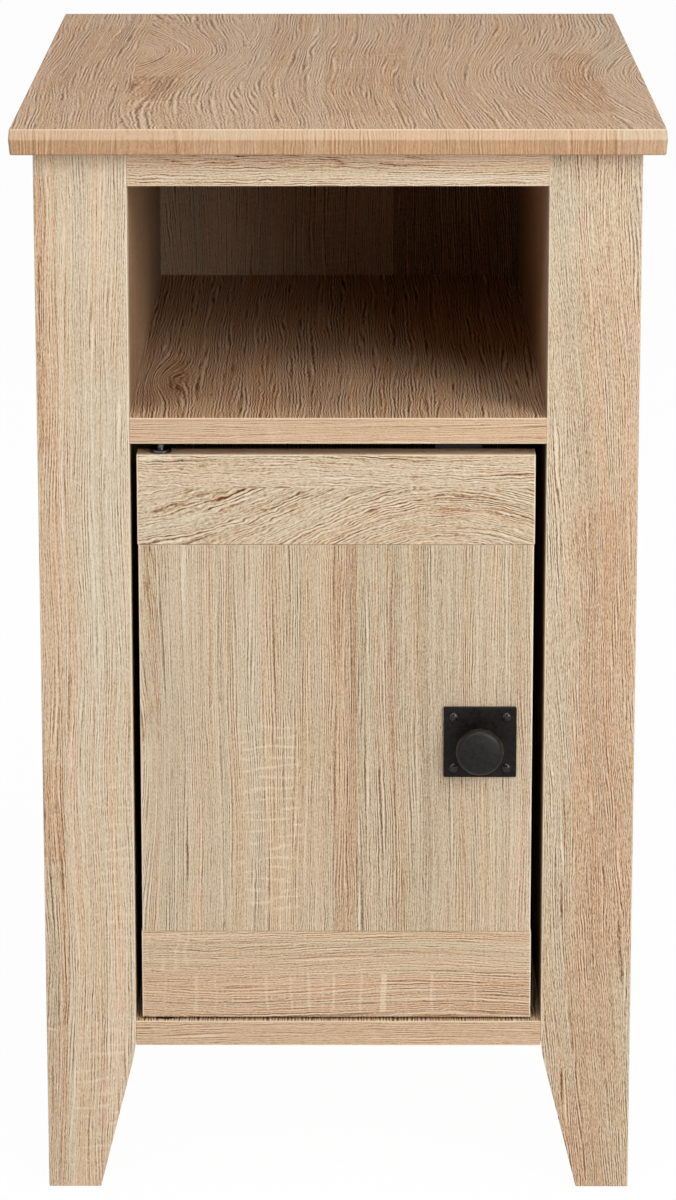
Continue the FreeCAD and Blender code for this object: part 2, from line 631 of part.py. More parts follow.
def main():
    """Build every node and write it."""
    os.makedirs("parts", exist_ok=True)
    upper = Pivot("upper", MIDDLE_SHELF_UNDER, DOOR_TOP, Z_AXIS)
    lower = Pivot("lower", BASE_SHELF_TOP, DOOR_BOTTOM, -Z_AXIS)
    in_legs, in_rails = leg_dowels(), rail_dowels()

    make_top()
    make_legs(in_legs + in_rails)
    make_rails(in_rails)
    make_side_panels(in_legs)
    make_shelf("middle_shelf", MIDDLE_SHELF_TOP, MIDDLE_CAMS, catch_screw_holes() + [upper.socket_outline()])
    make_shelf("base_shelf", BASE_SHELF_TOP, BASE_CAMS, [lower.socket_outline()])
    make_back_panel()

    cams = MIDDLE_CAMS + BASE_CAMS + TOP_CAMS
    save_group("cam_locks", [cam.lock() for cam in cams])
    save_group("cam_bolts", [cam.bolt() for cam in cams])
    save_group("leg_dowels", in_legs)
    save_group("rail_dowels", in_rails)
    save_group("back_panel_nails", [nail(spot) for spot in nail_spots()])

    for pivot in (upper, lower):
        pivot.save_socket()
        pivot.save_pin()
    make_catch()
    make_strike()
    make_knob()
    make_door((upper, lower))


main()
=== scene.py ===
"""Looks of a storage side table with a door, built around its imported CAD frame.

Lengths are in metres in the scene. Finishes count in millimetres, because wood grain does.
"""
import cmath
import logging
import math
from dataclasses import dataclass, replace
from enum import Enum
from typing import Any, Dict, List, Optional, Sequence, Tuple, Union

import bmesh
import bpy
from bmesh.types import BMEdge, BMesh
from bpy.types import ID, Material, NodeSocket, Object, World
from mathutils import Matrix, Vector


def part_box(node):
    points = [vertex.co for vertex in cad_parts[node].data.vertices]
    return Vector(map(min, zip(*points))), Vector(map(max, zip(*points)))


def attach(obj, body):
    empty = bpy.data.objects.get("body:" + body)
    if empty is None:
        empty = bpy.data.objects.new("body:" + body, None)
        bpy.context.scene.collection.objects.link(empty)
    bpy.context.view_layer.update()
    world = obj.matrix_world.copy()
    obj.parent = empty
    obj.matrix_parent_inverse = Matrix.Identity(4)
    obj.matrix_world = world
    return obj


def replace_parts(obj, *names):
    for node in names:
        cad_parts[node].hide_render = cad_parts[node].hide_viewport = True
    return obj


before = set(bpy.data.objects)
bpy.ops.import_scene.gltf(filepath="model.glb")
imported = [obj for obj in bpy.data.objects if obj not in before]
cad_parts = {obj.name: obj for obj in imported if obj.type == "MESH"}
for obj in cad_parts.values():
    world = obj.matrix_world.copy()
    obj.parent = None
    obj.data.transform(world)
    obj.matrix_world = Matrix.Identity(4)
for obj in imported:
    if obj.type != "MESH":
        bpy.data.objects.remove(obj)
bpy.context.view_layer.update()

LOG = logging.getLogger("side_table")
MM = 0.001
TOUCH = 1e-6            # metres within which two points are one
WHITE = (1.0, 1.0, 1.0, 1.0)
Colour = Tuple[int, int, int]
Point = Tuple[float, float]
Span = Tuple[float, float]
Triple = Tuple[float, float, float]
Box = Tuple[Vector, Vector]


class Axis(Enum):
    """A direction of the row frame, by its place in a vector."""

    X = 0
    Y = 1
    Z = 2


class Ends(Enum):
    """How the print goes on at the two ends of a board's grain."""

    WRAPPED = "wrapped"     # the same print is folded over the end
    BANDED = "banded"       # a plain strip is glued on, its grain along the strip


class Mixed(Enum):
    """What a Mix node mixes: its data type, and the places of its two inputs and of its output."""

    COLOUR = ("RGBA", 6, 7, 2)
    VECTOR = ("VECTOR", 4, 5, 1)


# ---------------- shader arithmetic
def linear(colour: Colour) -> Tuple[float, float, float, float]:
    """The linear colour of an 8-bit screen colour, by the sRGB curve.

    Args:
        colour: Red, green and blue, 0 to 255.

    Returns:
        Linear red, green, blue and an alpha of 1.
    """
    parts = [c / 255 for c in colour]
    red, green, blue = (c / 12.92 if c <= 0.04045 else ((c + 0.055) / 1.055) ** 2.4 for c in parts)
    return red, green, blue, 1.0


@dataclass(frozen=True)
class Layer:
    """A layer of noise, and what it does to a finish."""

    sizes: Triple               # of a spot along the three axes, in millimetres
    seed: float = 0.0           # added to the finish's own
    detail: float = 0.0         # number of finer layers
    rough: float = 0.5          # strength of each finer layer
    shade: float = 0.0          # how much the layer changes the colour
    dull: float = 0.0           # how much it changes the roughness

    def scaled(self, wide: float, long: float) -> "Layer":
        """The same layer with spots of another width, and another length along the third axis."""
        first, second, third = self.sizes
        return replace(self, sizes=(first * wide, second * wide, third * long))


class Value:
    """A shader socket that can be used in arithmetic."""

    def __init__(self, graph: "Graph", socket: NodeSocket) -> None:
        """Keeps the socket and the graph that its arithmetic goes into."""
        self.graph = graph
        self.socket = socket

    def math(self, operation: str, *others: "Number") -> "Value":
        """Adds one Math node whose first input is this value."""
        return self.graph.node("ShaderNodeMath", {"operation": operation}, dict(enumerate((self, *others))))

    def __add__(self, other: "Number") -> "Value":
        """Sum."""
        return self.math("ADD", other)

    __radd__ = __add__

    def __sub__(self, other: "Number") -> "Value":
        """Difference."""
        return self.math("SUBTRACT", other)

    def __rsub__(self, other: "Number") -> "Value":
        """Difference from a plain number."""
        return self.graph.node("ShaderNodeMath", {"operation": "SUBTRACT"}, {0: other, 1: self})

    def __mul__(self, other: "Number") -> "Value":
        """Product."""
        return self.math("MULTIPLY", other)

    __rmul__ = __mul__

    def __truediv__(self, other: "Number") -> "Value":
        """Quotient."""
        return self.math("DIVIDE", other)

    def __rtruediv__(self, other: "Number") -> "Value":
        """Quotient of a plain number."""
        return self.graph.node("ShaderNodeMath", {"operation": "DIVIDE"}, {0: other, 1: self})

    def __abs__(self) -> "Value":
        """Size without sign."""
        return self.math("ABSOLUTE")

    def swing(self, amount: float) -> "Value":
        """Distance from the middle of noise, which is 0.5, times an amount."""
        return (self - 0.5) * amount

    def step(self, low: float, high: float) -> "Value":
        """A smooth step.

        Args:
            low: Where the step is 0.
            high: Where the step is 1, which may be below low.

        Returns:
            The step, from 0 to 1.
        """
        ends = {"From Min": low, "From Max": high, "To Min": 0.0, "To Max": 1.0}
        if low > high:
            ends = {"From Min": high, "From Max": low, "To Min": 1.0, "To Max": 0.0}
        ends["Value"] = self
        return self.graph.node("ShaderNodeMapRange", {"interpolation_type": "SMOOTHSTEP"}, ends)

    def within(self, span: Span, soft: float) -> "Value":
        """1 inside a span and 0 outside it.

        Args:
            span: Lowest and highest value.
            soft: Width of each border.

        Returns:
            The mask.
        """
        low, high = span
        return self.step(low - soft / 2, low + soft / 2) * self.step(high + soft / 2, high - soft / 2)

    def noise(self, layer: Layer) -> "Value":
        """Noise of a layer, where this value is a position in millimetres.

        Args:
            layer: The size of the noise's spots and its fineness.

        Returns:
            The noise, about 0.5 in the middle.
        """
        seed = self.graph.seed + layer.seed
        shift = (seed, seed * 1.7 + 3.1, seed * 0.6 + 7.7)      # each seed has its own place in the noise
        spread = self.graph.node("ShaderNodeVectorMath", {"operation": "MULTIPLY_ADD"},
                                 {0: self, 1: [1 / size for size in layer.sizes], 2: shift})
        inputs = {"Vector": spread, "Scale": 1.0, "Detail": layer.detail, "Roughness": layer.rough}
        return self.graph.node("ShaderNodeTexNoise", {"noise_dimensions": "3D"}, inputs)

    def split(self) -> Tuple["Value", "Value", "Value"]:
        """The three parts of a vector."""
        parts = self.graph.node("ShaderNodeSeparateXYZ", {}, {0: self}).socket.node.outputs
        return Value(self.graph, parts[0]), Value(self.graph, parts[1]), Value(self.graph, parts[2])


Number = Union[Value, float, Sequence[float]]


class Graph:
    """The node tree of a material or of the sky."""

    def __init__(self, owner: Union[Material, World], seed: float = 0.0) -> None:
        """Empties the owner's tree.

        Args:
            owner: The material or the sky.
            seed: Shifts all noise in the tree.
        """
        owner.use_nodes = True
        self.owner = owner
        self.seed = seed
        self.tree = owner.node_tree
        self.tree.nodes.clear()

    def node(self, kind: str, settings: Dict[str, Any], inputs: Dict[Union[int, str], Number],
             output: Union[int, str] = 0) -> Value:
        """Adds a node.

        Args:
            kind: Blender's name of the node type.
            settings: Its properties. "stops" are the places and colours of a ramp.
            inputs: Values or links of its sockets, by name or place.
            output: The socket that is handed back.

        Returns:
            That output.
        """
        made = self.tree.nodes.new(kind)
        for key, value in settings.items():
            if key == "stops":
                while len(made.color_ramp.elements) < len(value):
                    made.color_ramp.elements.new(0.5)
                for element, (place, colour) in zip(made.color_ramp.elements, value):
                    element.position, element.color = place, colour
            else:
                setattr(made, key, value)
        for key, value in inputs.items():
            if isinstance(value, Value):
                self.tree.links.new(value.socket, made.inputs[key])
            else:
                made.inputs[key].default_value = value
        return Value(self, made.outputs[output])

    def position(self) -> Value:
        """Where a point of the piece is, in millimetres."""
        place = self.node("ShaderNodeTexCoord", {}, {}, "Object")
        return self.node("ShaderNodeVectorMath", {"operation": "SCALE"}, {0: place, "Scale": 1 / MM})

    def join(self, x: Number, y: Number, z: Number) -> Value:
        """A vector of three parts."""
        return self.node("ShaderNodeCombineXYZ", {}, {0: x, 1: y, 2: z})

    def blend(self, share: Number, first: Number, second: Number, kind: Mixed = Mixed.COLOUR) -> Value:
        """A colour or a vector between two others, at the share of the second."""
        data_type, first_in, second_in, result = kind.value
        return self.node("ShaderNodeMix", {"data_type": data_type},
                         {0: share, first_in: first, second_in: second}, result)

    def seen(self) -> Value:
        """1 for what the camera sees, also in a shiny surface or through glass, and 0 for other rays."""
        rays = [self.node("ShaderNodeLightPath", {}, {}, "Is " + ray + " Ray")
                for ray in ("Camera", "Glossy", "Transmission")]
        return rays[0].math("MAXIMUM", rays[1]).math("MAXIMUM", rays[2])

    def close(self, kind: str, shader: Value) -> None:
        """Links a shader to an output node of that kind."""
        end = self.tree.nodes.new(kind)
        self.tree.links.new(shader.socket, end.inputs["Surface"])

    def surface(self, sockets: Dict[str, Number], height: Value, depth: float) -> Material:
        """Closes a material's tree with a surface.

        Args:
            sockets: Values or links of the surface's sockets.
            height: Relief, from 0 to 1.
            depth: Height of that relief, in millimetres.

        Returns:
            The finished material.
        """
        bump = self.node("ShaderNodeBump", {}, {"Strength": 1.0, "Distance": depth * MM, "Height": height})
        skin = self.node("ShaderNodeBsdfPrincipled", {}, {**sockets, "Normal": bump})
        self.close("ShaderNodeOutputMaterial", skin)
        return self.owner


# ---------------- finishes
@dataclass(frozen=True)
class Figure:
    """A cathedral or an eye that the grain lines go round."""

    across: float
    along: float
    wide: float
    long: float
    lift: float                 # how far it moves the lines, in millimetres


@dataclass(frozen=True)
class Arcs:
    """Nested arcs round a centre, where a board was cut near the heart."""

    across: float
    along: float
    ratio: float                # length over width of an arc
    side: int                   # which way across they bulge
    fore: float = 0.0           # reach to either side along the grain, in millimetres
    aft: float = 0.0
    span: Optional[Span] = None
    soft: float = 0.6

    def shift(self, u: Value, v: Value) -> Value:
        """How far the grain lines are moved.

        Args:
            u: Place along the grain.
            v: Place across the grain.

        Returns:
            The move across the grain, in millimetres.
        """
        off = u - self.along
        run = 0.0
        for reach, part in ((self.fore, off.math("MINIMUM", 0.0)), (self.aft, off.math("MAXIMUM", 0.0))):
            if reach:
                run = (part / reach).math("TANH") * (reach / self.ratio) + run
        wide = v - self.across
        radius = (wide * wide + run * run).math("SQRT")
        move = radius * self.side - wide
        return move if self.span is None else move * v.within(self.span, self.soft)


@dataclass(frozen=True)
class Zone:
    """A part of a board with a tone and a hue of its own; some zones are painted shade and painted light
    instead. A span of None is the whole board.
    """

    across: Optional[Span]
    along: Optional[Span]
    tone: float
    warmth: float = 0.0
    soft: float = 0.6           # width of its borders, in millimetres
    ragged: float = 0.0         # how far the borders stray
    cracks: float = 0.0
    depth: Optional[Span] = None

    def mask(self, u: Value, v: Value, w: Value, patch: Value) -> Value:
        """Where the zone is.

        Args:
            u: Place along the grain.
            v: Place across the grain.
            w: Place through the board.
            patch: Noise that makes the borders ragged.

        Returns:
            The mask, from 0 to 1.
        """
        masks = []
        for value, span in ((u, self.along), (v, self.across), (w, self.depth)):
            if span:
                strayed = value + patch.swing(self.ragged) if self.ragged else value
                masks.append(strayed.within(span, self.soft))
        return math.prod(masks)


@dataclass(frozen=True)
class SawMarks:
    """Pale strokes that a saw left across the grain."""

    across: Span
    along: Span
    pitch: float = 4.0          # distance between two strokes, in millimetres
    strength: float = 1.0
    soft: float = 8.0           # width of their borders
    tilt: float = -0.1

    WOBBLE = Layer((30, 30, 14), 47, 1)
    BREAKS = Layer((15, 15, 3.4), 53, 2)
    STRAY = 1.8                 # how many pitches a stroke strays
    TONE = 0.15

    def light(self, grain: Value, u: Value, v: Value) -> Value:
        """The strokes, broken up and worn.

        Args:
            grain: Position by the grain.
            u: Place along the grain.
            v: Place across the grain.

        Returns:
            How much lighter each point is.
        """
        wobble = grain.noise(self.WOBBLE)
        broken = grain.noise(self.BREAKS).step(0.4, 0.58)
        wave = (u + v * self.tilt + wobble.swing(self.pitch * self.STRAY)) / self.pitch
        strokes = (wave.math("PINGPONG", 0.5) * 2).step(0.5, 0.95) * broken
        ragged = wobble.swing(self.soft * 2)
        mask = (v + ragged).within(self.across, self.soft) * (u + ragged).within(self.along, self.soft * 2)
        return strokes * mask * (self.TONE * self.strength)


@dataclass(frozen=True)
class Rim:
    """Light lines along the edges round one side of a board's box: a light edge band, and painted highlight
    where light catches the rounded edge.
    """

    axis: Axis
    side: int                   # 1 for the high side of the axis, -1 for the low one
    strength: float = 0.6


@dataclass(frozen=True)
class Stripes:
    """Thin lines along the grain that wander and fade in and out."""

    pitch: float                # mean distance between two lines, in millimetres
    sway: float                 # how many pitches the bends move them by
    bends: Layer                # moves the lines
    wear: Layer                 # fades them

    FAINT, CLEAR = 0.35, 1.65   # weakest and strongest stretches

    def drawn(self, place: Value, thick: float, long: float) -> Value:
        """Draws the lines.

        Args:
            place: Position by the grain, bent.
            thick: Thickness against the usual one.
            long: Length against the usual one.

        Returns:
            The lines, around 0.
        """
        across, through, _ = place.split()
        wander = place.noise(self.bends.scaled(thick, long))
        wear = place.noise(self.wear.scaled(thick, long)).step(0.35, 0.65)
        wave = (across + through) / (self.pitch * thick) + wander * self.sway
        return (wave.math("PINGPONG", 0.5) * 2 - 0.5) * (wear * (self.CLEAR - self.FAINT) + self.FAINT)


@dataclass(frozen=True)
class OakPrint:
    """Washed oak print of one board, with painted shade, painted light and painted highlight where its zones
    and rims give them.
    """

    along: Axis
    across: Axis
    seed: float
    tone: float = 0.0           # above 0 is lighter
    warmth: float = 0.0         # -0.5 is grey, 0.5 warm and 1.5 ripe
    contrast: float = 1.0
    wave: float = 1.0           # how much the slow and the quick bends count
    curl: float = 0.5
    slant: float = 0.0
    pores: float = 1.0
    cracks: float = 0.0
    ends: Ends = Ends.WRAPPED
    end_calm: float = 0.45      # share of the fine lines that the ends lack
    tint: float = 1.7           # how much the hue changes from line to line, and from band to band
    bands: float = 1.2
    streak: float = 0.19        # how much each layer changes the tone
    thread: float = 0.34
    fibre: float = 0.28
    fleck: float = 0.5
    long: float = 1.0           # length and thickness of the lines
    thick: float = 1.0
    edge_tone: float = 0.0      # added on the board's narrow faces
    edge_warmth: float = 0.0
    # edges that get a light edge band with painted highlight
    rims: Tuple[Rim, ...] = ()
    figures: Tuple[Figure, ...] = ()
    arcs: Tuple[Arcs, ...] = ()
    zones: Tuple[Zone, ...] = ()
    saws: Tuple[SawMarks, ...] = ()

    # Layers of noise: spots across, through and along the grain, seed, finer layers and their strength.
    SLOW = Layer((70, 70, 150))
    QUICK = Layer((5, 5, 11), 5, 1)
    STREAK = Layer((3.2, 3.2, 260), 11, 1, 0.7)
    BROAD = Layer((18, 18, 500), 17, 1)
    FLECK = Layer((0.55, 0.7, 1.6), 27)
    PATCH = Layer((16, 16, 45), 29, 1)
    PORE = Layer((0.75, 0.95, 22), 31)
    CLUSTER = Layer((9, 9, 110), 37, 1)
    CREASE = Layer((2.6, 2.6, 38), 41, 1)
    SHADE = Layer((6, 6, 300), 43, 3, 0.75)
    THREAD = Stripes(1.5, 2.5, Layer((4, 4.8, 90), 19), Layer((2.4, 2.4, 26), 59))
    FIBRE = Stripes(1.0, 1.9, Layer((2.2, 2.64, 13), 23), Layer((1.32, 1.32, 9), 63))

    # Reach of the bends in millimetres, and width of a banded end's grain against the face's.
    WAVE_REACH, CURL_REACH = 24.0, 3.0
    BAND_WIDTH = 1.4

    # What tone and hue start from, and what the layers do to them, to the roughness and to the relief.
    MIDDLE_TONE, MIDDLE_HUE = 0.53, 0.5
    BROAD_TONE, PATCH_TONE, PORE_TONE = 0.13, 0.05, 0.05
    CRACK_TONE, CRACK_HUE = 0.26, 0.5
    ZONE_CRACK_TONE, ZONE_CRACK_HUE = 0.3, 0.6
    END_PLAIN, END_HUE = 0.6, 0.7           # shares of the coarse bands and of the hue that the ends lack
    ROUGH, FIBRE_ROUGH, PORE_ROUGH = 0.58, 0.12, 0.15
    SPECULAR, RELIEF, PORE_RELIEF = 0.12, 0.02, 0.8
    RIM_FADED = 0.65                         # strength of a rim where it fades most

    # Colours from the darkest tone to the lightest, at their stops.
    STOPS = (0.0, 0.28, 0.5, 0.72, 1.0)
    GREY = ((104, 76, 50), (166, 143, 115), (198, 180, 154), (214, 200, 175), (228, 217, 198))
    WARM = ((98, 61, 36), (168, 131, 98), (203, 171, 140), (219, 193, 164), (231, 212, 188))
    RIPE = ((95, 58, 31), (168, 126, 88), (204, 164, 125), (219, 185, 149), (231, 207, 179))
    # light edge band with painted highlight, laid along the rims
    EDGE_BAND_AND_HIGHLIGHT = (243, 226, 198)

    def material(self, name: str, box: Box) -> Material:
        """Builds the material of a board.

        Args:
            name: Name of the material.
            box: Lowest and highest corner of the board, in metres.

        Returns:
            The material.
        """
        graph = Graph(bpy.data.materials.new(name), self.seed)
        place = graph.position().split()
        facing = graph.node("ShaderNodeTexCoord", {}, {}, "Normal").split()
        third = Axis(3 - self.along.value - self.across.value)
        u, v, w = (place[axis.value] for axis in (self.along, self.across, third))
        end = abs(facing[self.along.value]).step(0.45, 0.75)
        on_edge = 1 - abs(facing[third.value]).step(0.4, 0.7)
        if self.ends is Ends.WRAPPED:
            grain = graph.join(v, w * (1 - end), u + w * end)
        else:
            band = graph.join(w * self.BAND_WIDTH, u, v)
            grain = graph.blend(end, graph.join(v, w, u), band, Mixed.VECTOR)
        lines = self.bend(grain, u, v)

        streak = lines.noise(self.STREAK)
        broad = lines.noise(self.BROAD)
        thread = self.THREAD.drawn(lines, self.thick, self.long)
        fibre = self.FIBRE.drawn(lines, self.thick, self.long)
        patch = grain.noise(self.PATCH)
        pore = lines.noise(self.PORE.scaled(self.thick, self.long)).step(0.72, 0.8)
        cluster = lines.noise(self.CLUSTER)
        crease = abs(lines.noise(self.CREASE.scaled(self.thick, self.long)) - 0.5)

        plain = 1 - end * self.END_PLAIN
        split = crease.step(0.05, 0.012)
        crack = split * cluster.step(0.46, 0.64) * plain * self.cracks
        fine = thread * self.thread * (cluster.step(0.35, 0.65) + 0.5)
        fine = fine + fibre * self.fibre + lines.noise(self.FLECK).swing(self.fleck)
        coarse = streak.swing(self.streak) + broad.swing(self.BROAD_TONE) + patch.swing(self.PATCH_TONE)
        tone = (fine * (1 - end * self.end_calm) + coarse * plain) * self.contrast
        tone = tone + (self.MIDDLE_TONE + self.tone) + on_edge * self.edge_tone
        tone = tone - pore * plain * (self.PORE_TONE * self.pores) - crack * self.CRACK_TONE
        hue = lines.noise(self.SHADE).swing(self.tint) + broad.swing(self.bands)
        hue = hue * (1 - end * self.END_HUE) + (self.MIDDLE_HUE + self.warmth) + on_edge * self.edge_warmth
        hue = hue + crack * self.CRACK_HUE
        for zone in self.zones:
            mask = zone.mask(u, v, w, patch)
            tone = tone + mask * zone.tone
            hue = hue + mask * zone.warmth
            if zone.cracks:
                tone = tone - mask * split * (self.ZONE_CRACK_TONE * zone.cracks)
                hue = hue + mask * split * (self.ZONE_CRACK_HUE * zone.cracks)
        for marks in self.saws:
            tone = tone + marks.light(grain, u, v)

        grey, warm, ripe = (
            graph.node("ShaderNodeValToRGB", {"stops": list(zip(self.STOPS, map(linear, ramp)))}, {0: tone})
            for ramp in (self.GREY, self.WARM, self.RIPE))
        colour = graph.blend(hue.step(1.0, 2.0), graph.blend(hue.step(0.0, 1.0), grey, warm), ripe)
        # painted highlight along the rims, over a light edge band
        if self.rims:
            kept = streak.step(0.3, 0.55) * (1 - self.RIM_FADED) + self.RIM_FADED
            colour = graph.blend(self.rim_band_and_highlight(place, box) * kept, colour, linear(self.EDGE_BAND_AND_HIGHLIGHT))
        rough = fibre * self.FIBRE_ROUGH + pore * self.PORE_ROUGH + self.ROUGH
        return graph.surface({"Specular IOR Level": self.SPECULAR, "Base Color": colour, "Roughness": rough},
                             fibre - pore * self.PORE_RELIEF, self.RELIEF)

    def bend(self, grain: Value, u: Value, v: Value) -> Value:
        """Bends the grain by waves, a slant, figures and arcs.

        Args:
            grain: Position across, through and along the straight grain.
            u: Place along the board.
            v: Place across the board.

        Returns:
            Position by the bent grain.
        """
        across, through, along = grain.split()
        bent = across + grain.noise(self.SLOW).swing(self.WAVE_REACH * self.wave)
        bent = bent + grain.noise(self.QUICK).swing(self.CURL_REACH * self.curl) + along * self.slant
        for figure in self.figures:
            far = ((v - figure.across) / figure.wide).math("POWER", 2.0)
            far = far + ((u - figure.along) / figure.long).math("POWER", 2.0)
            bent = bent + (far * -1.0).math("EXPONENT") * figure.lift
        for arc in self.arcs:
            bent = bent + arc.shift(along, across)
        return grain.graph.join(bent, through, along)

    def rim_band_and_highlight(self, place: Sequence[Value], box: Box) -> Value:
        """Light lines along the edges of a board's box, broken in places: a light edge band with painted
        highlight.

        Args:
            place: Position along each axis, in millimetres.
            box: Lowest and highest corner of the board, in metres.

        Returns:
            The mask, from 0 to 1.
        """
        low, high = box
        first, second, third = ((stop - start) / 2 / MM - abs(value - (start + stop) / 2 / MM)
                                for value, start, stop in zip(place, low, high))
        # An edge is where two of the distances to the box's faces are small, so the middle one of the three.
        small = first.math("MINIMUM", second)
        large = first.math("MAXIMUM", second)
        middle = small.math("MAXIMUM", large.math("MINIMUM", third))
        sides = 0.0
        for rim in self.rims:
            at = (high if rim.side > 0 else low)[rim.axis.value] / MM
            near = abs(place[rim.axis.value] - at).step(1.3, 0.7) * rim.strength
            sides = near.math("MAXIMUM", sides)
        return middle.step(1.1, 0.5) * sides


@dataclass(frozen=True)
class Mottled:
    """A finish between two colours that layers of noise mix. The first layer is its relief as well."""

    name: str
    light: Colour
    dark: Colour
    roughness: float
    seed: float = 9.0
    depth: float = 0.01         # of the relief, in millimetres
    middle: float = 0.5         # usual share of the light colour

    def layers(self) -> Tuple[Layer, ...]:
        """Its layers of noise."""
        raise NotImplementedError

    def constants(self) -> Dict[str, float]:
        """Sockets of the surface that are the same all over."""
        return {}

    def material(self) -> Material:
        """Builds the material.

        Returns:
            The material.
        """
        graph = Graph(bpy.data.materials.new(self.name), self.seed)
        place = graph.position()
        layers = self.layers()
        noises = [place.noise(layer) for layer in layers]
        share, rough = self.middle, self.roughness
        for noise, layer in zip(noises, layers):
            share = noise.swing(layer.shade) + share
            rough = noise.swing(layer.dull) + rough
        colour = graph.blend(share.step(0.0, 1.0), linear(self.dark), linear(self.light))
        sockets = {**self.constants(), "Base Color": colour, "Roughness": rough}
        return graph.surface(sockets, noises[0], self.depth)


@dataclass(frozen=True)
class PowderCoat(Mottled):
    """Matte black powder coat with a fine grain."""

    seed: float = 3.0
    depth: float = 0.06
    middle: float = 0.4
    specular: float = 0.15
    grain: float = 0.42

    def layers(self) -> Tuple[Layer, ...]:
        """A fine grain and a mottle."""
        return Layer((self.grain,) * 3, 0, 2, 0.6, 2.2, 0.3), Layer((2.6,) * 3, 4, 2, 0.5, 1.6, 0.3)

    def constants(self) -> Dict[str, float]:
        """Its shine."""
        return {"Specular IOR Level": self.specular}


@dataclass(frozen=True)
class Metal(Mottled):
    """A metal with fine marks, which may lie along one axis, and a mottled skin."""

    sizes: Triple = (1.2, 1.2, 1.2)

    def layers(self) -> Tuple[Layer, ...]:
        """The marks and a cloud."""
        return Layer(self.sizes, 0, 2, 0.6, 1.4, 0.25), Layer((5,) * 3, 2, 2, 0.5, 1.4, 0.2)

    def constants(self) -> Dict[str, float]:
        """Bare metal."""
        return {"Metallic": 1.0}


@dataclass(frozen=True)
class Moulding(Mottled):
    """Plain moulded plastic or another dull solid with a fine grain."""

    roughness: float = 0.55
    seed: float = 14.0
    depth: float = 0.02
    grain: float = 0.6

    def layers(self) -> Tuple[Layer, ...]:
        """A fine grain and a cloud."""
        return Layer((self.grain,) * 3, 0, 2, 0.5, 1.2, 0.25), Layer((7,) * 3, 3, 1, 0.5, 1)


@dataclass(frozen=True)
class BeechDowel(Mottled):
    """Plain beech with short flecks along a dowel."""

    light: Colour = (222, 186, 142)
    dark: Colour = (176, 132, 88)
    roughness: float = 0.6
    seed: float = 21.0
    depth: float = 0.04
    along: Axis = Axis.X

    def layers(self) -> Tuple[Layer, ...]:
        """The flecks."""
        return (Layer(tuple(9.0 if axis is self.along else 0.7 for axis in Axis), 0, 2, 0.6, 2.2, 0.2),)


# ---------------- shaping
def stand(name: str, data: ID) -> Object:
    """Puts a mesh, a lamp or a camera into the scene.

    Args:
        name: Name of the object.
        data: What the object holds.

    Returns:
        The object, at the origin.
    """
    made = bpy.data.objects.new(name, data)
    bpy.context.scene.collection.objects.link(made)
    return made


def shaped(name: str, shape: BMesh, material: Material) -> Object:
    """Turns a shape into an object.

    Args:
        name: Name of the object and of its mesh.
        shape: Its shape, in place and in metres. It is freed.
        material: Its finish.

    Returns:
        The object.
    """
    mesh = bpy.data.meshes.new(name)
    shape.to_mesh(mesh)
    shape.free()
    mesh.materials.append(material)
    return stand(name, mesh)


def finished_piece(name: str, shape: BMesh, material: Material, body: str,
                   smooth: bool = True) -> Object:
    """Turns a shape into a piece that rides on a body.

    Args:
        name: Name of the piece.
        shape: Its shape, in place and in metres. It is freed.
        material: Its finish.
        body: Body that carries it.
        smooth: Whether its faces are shaded smooth.

    Returns:
        The piece.
    """
    bmesh.ops.recalc_face_normals(shape, faces=shape.faces)
    for face in shape.faces:
        face.smooth = smooth
    piece = shaped(name, shape, material)
    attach(piece, body)
    LOG.info("piece %s: %d faces, rides on %s", name, len(piece.data.polygons), body)
    return piece


def spun(profile: Sequence[Point], centre: Vector, out: Vector, steps: int) -> BMesh:
    """Turns a profile about an axis.

    Args:
        profile: Radius and reach of each point, in millimetres, from the axis round to the axis.
        centre: Point of the axis at a reach of 0, in metres.
        out: Direction in which the reach grows.
        steps: Number of sides.

    Returns:
        The closed shape.
    """
    shape = bmesh.new()
    across = out.orthogonal().normalized()
    points = [shape.verts.new(centre + (across * radius + out * reach) * MM) for radius, reach in profile]
    edges = [shape.edges.new(pair) for pair in zip(points, points[1:])]
    bmesh.ops.spin(shape, geom=points + edges, cent=centre, axis=out, dvec=(0, 0, 0), angle=math.tau,
                   steps=steps, use_merge=True, use_duplicate=False)
    bmesh.ops.remove_doubles(shape, verts=shape.verts, dist=TOUCH)
    return shape


def round_off(shape: BMesh, edges: Sequence[BMEdge], radius: float, segments: int) -> None:
    """Rounds edges off.

    Args:
        shape: The shape they are on.
        edges: The edges.
        radius: Width of the rounding, in millimetres.
        segments: Number of its faces.
    """
    bmesh.ops.bevel(shape, geom=edges, offset=radius * MM, affect="EDGES", segments=segments, profile=0.5,
                    material=-1)


def arc(start: Point, through: Point, stop: Point, count: int) -> List[Point]:
    """Points of a circle through three points.

    Args:
        start: First point, which is left out.
        through: A point between.
        stop: Last point.
        count: Number of points.

    Returns:
        The points after the first.
    """
    a, b, c = (complex(*point) for point in (start, through, stop))
    ratio = (c - a) / (b - a)
    centre = a + (b - a) * (ratio - abs(ratio) ** 2) / (ratio - ratio.conjugate())
    middle, sweep = (cmath.phase((point - centre) / (a - centre)) % math.tau for point in (b, c))
    if middle > sweep:
        sweep -= math.tau
    points = [centre + (a - centre) * cmath.exp(1j * sweep * k / count) for k in range(1, count + 1)]
    return [(max(0.0, point.real), point.imag) for point in points]


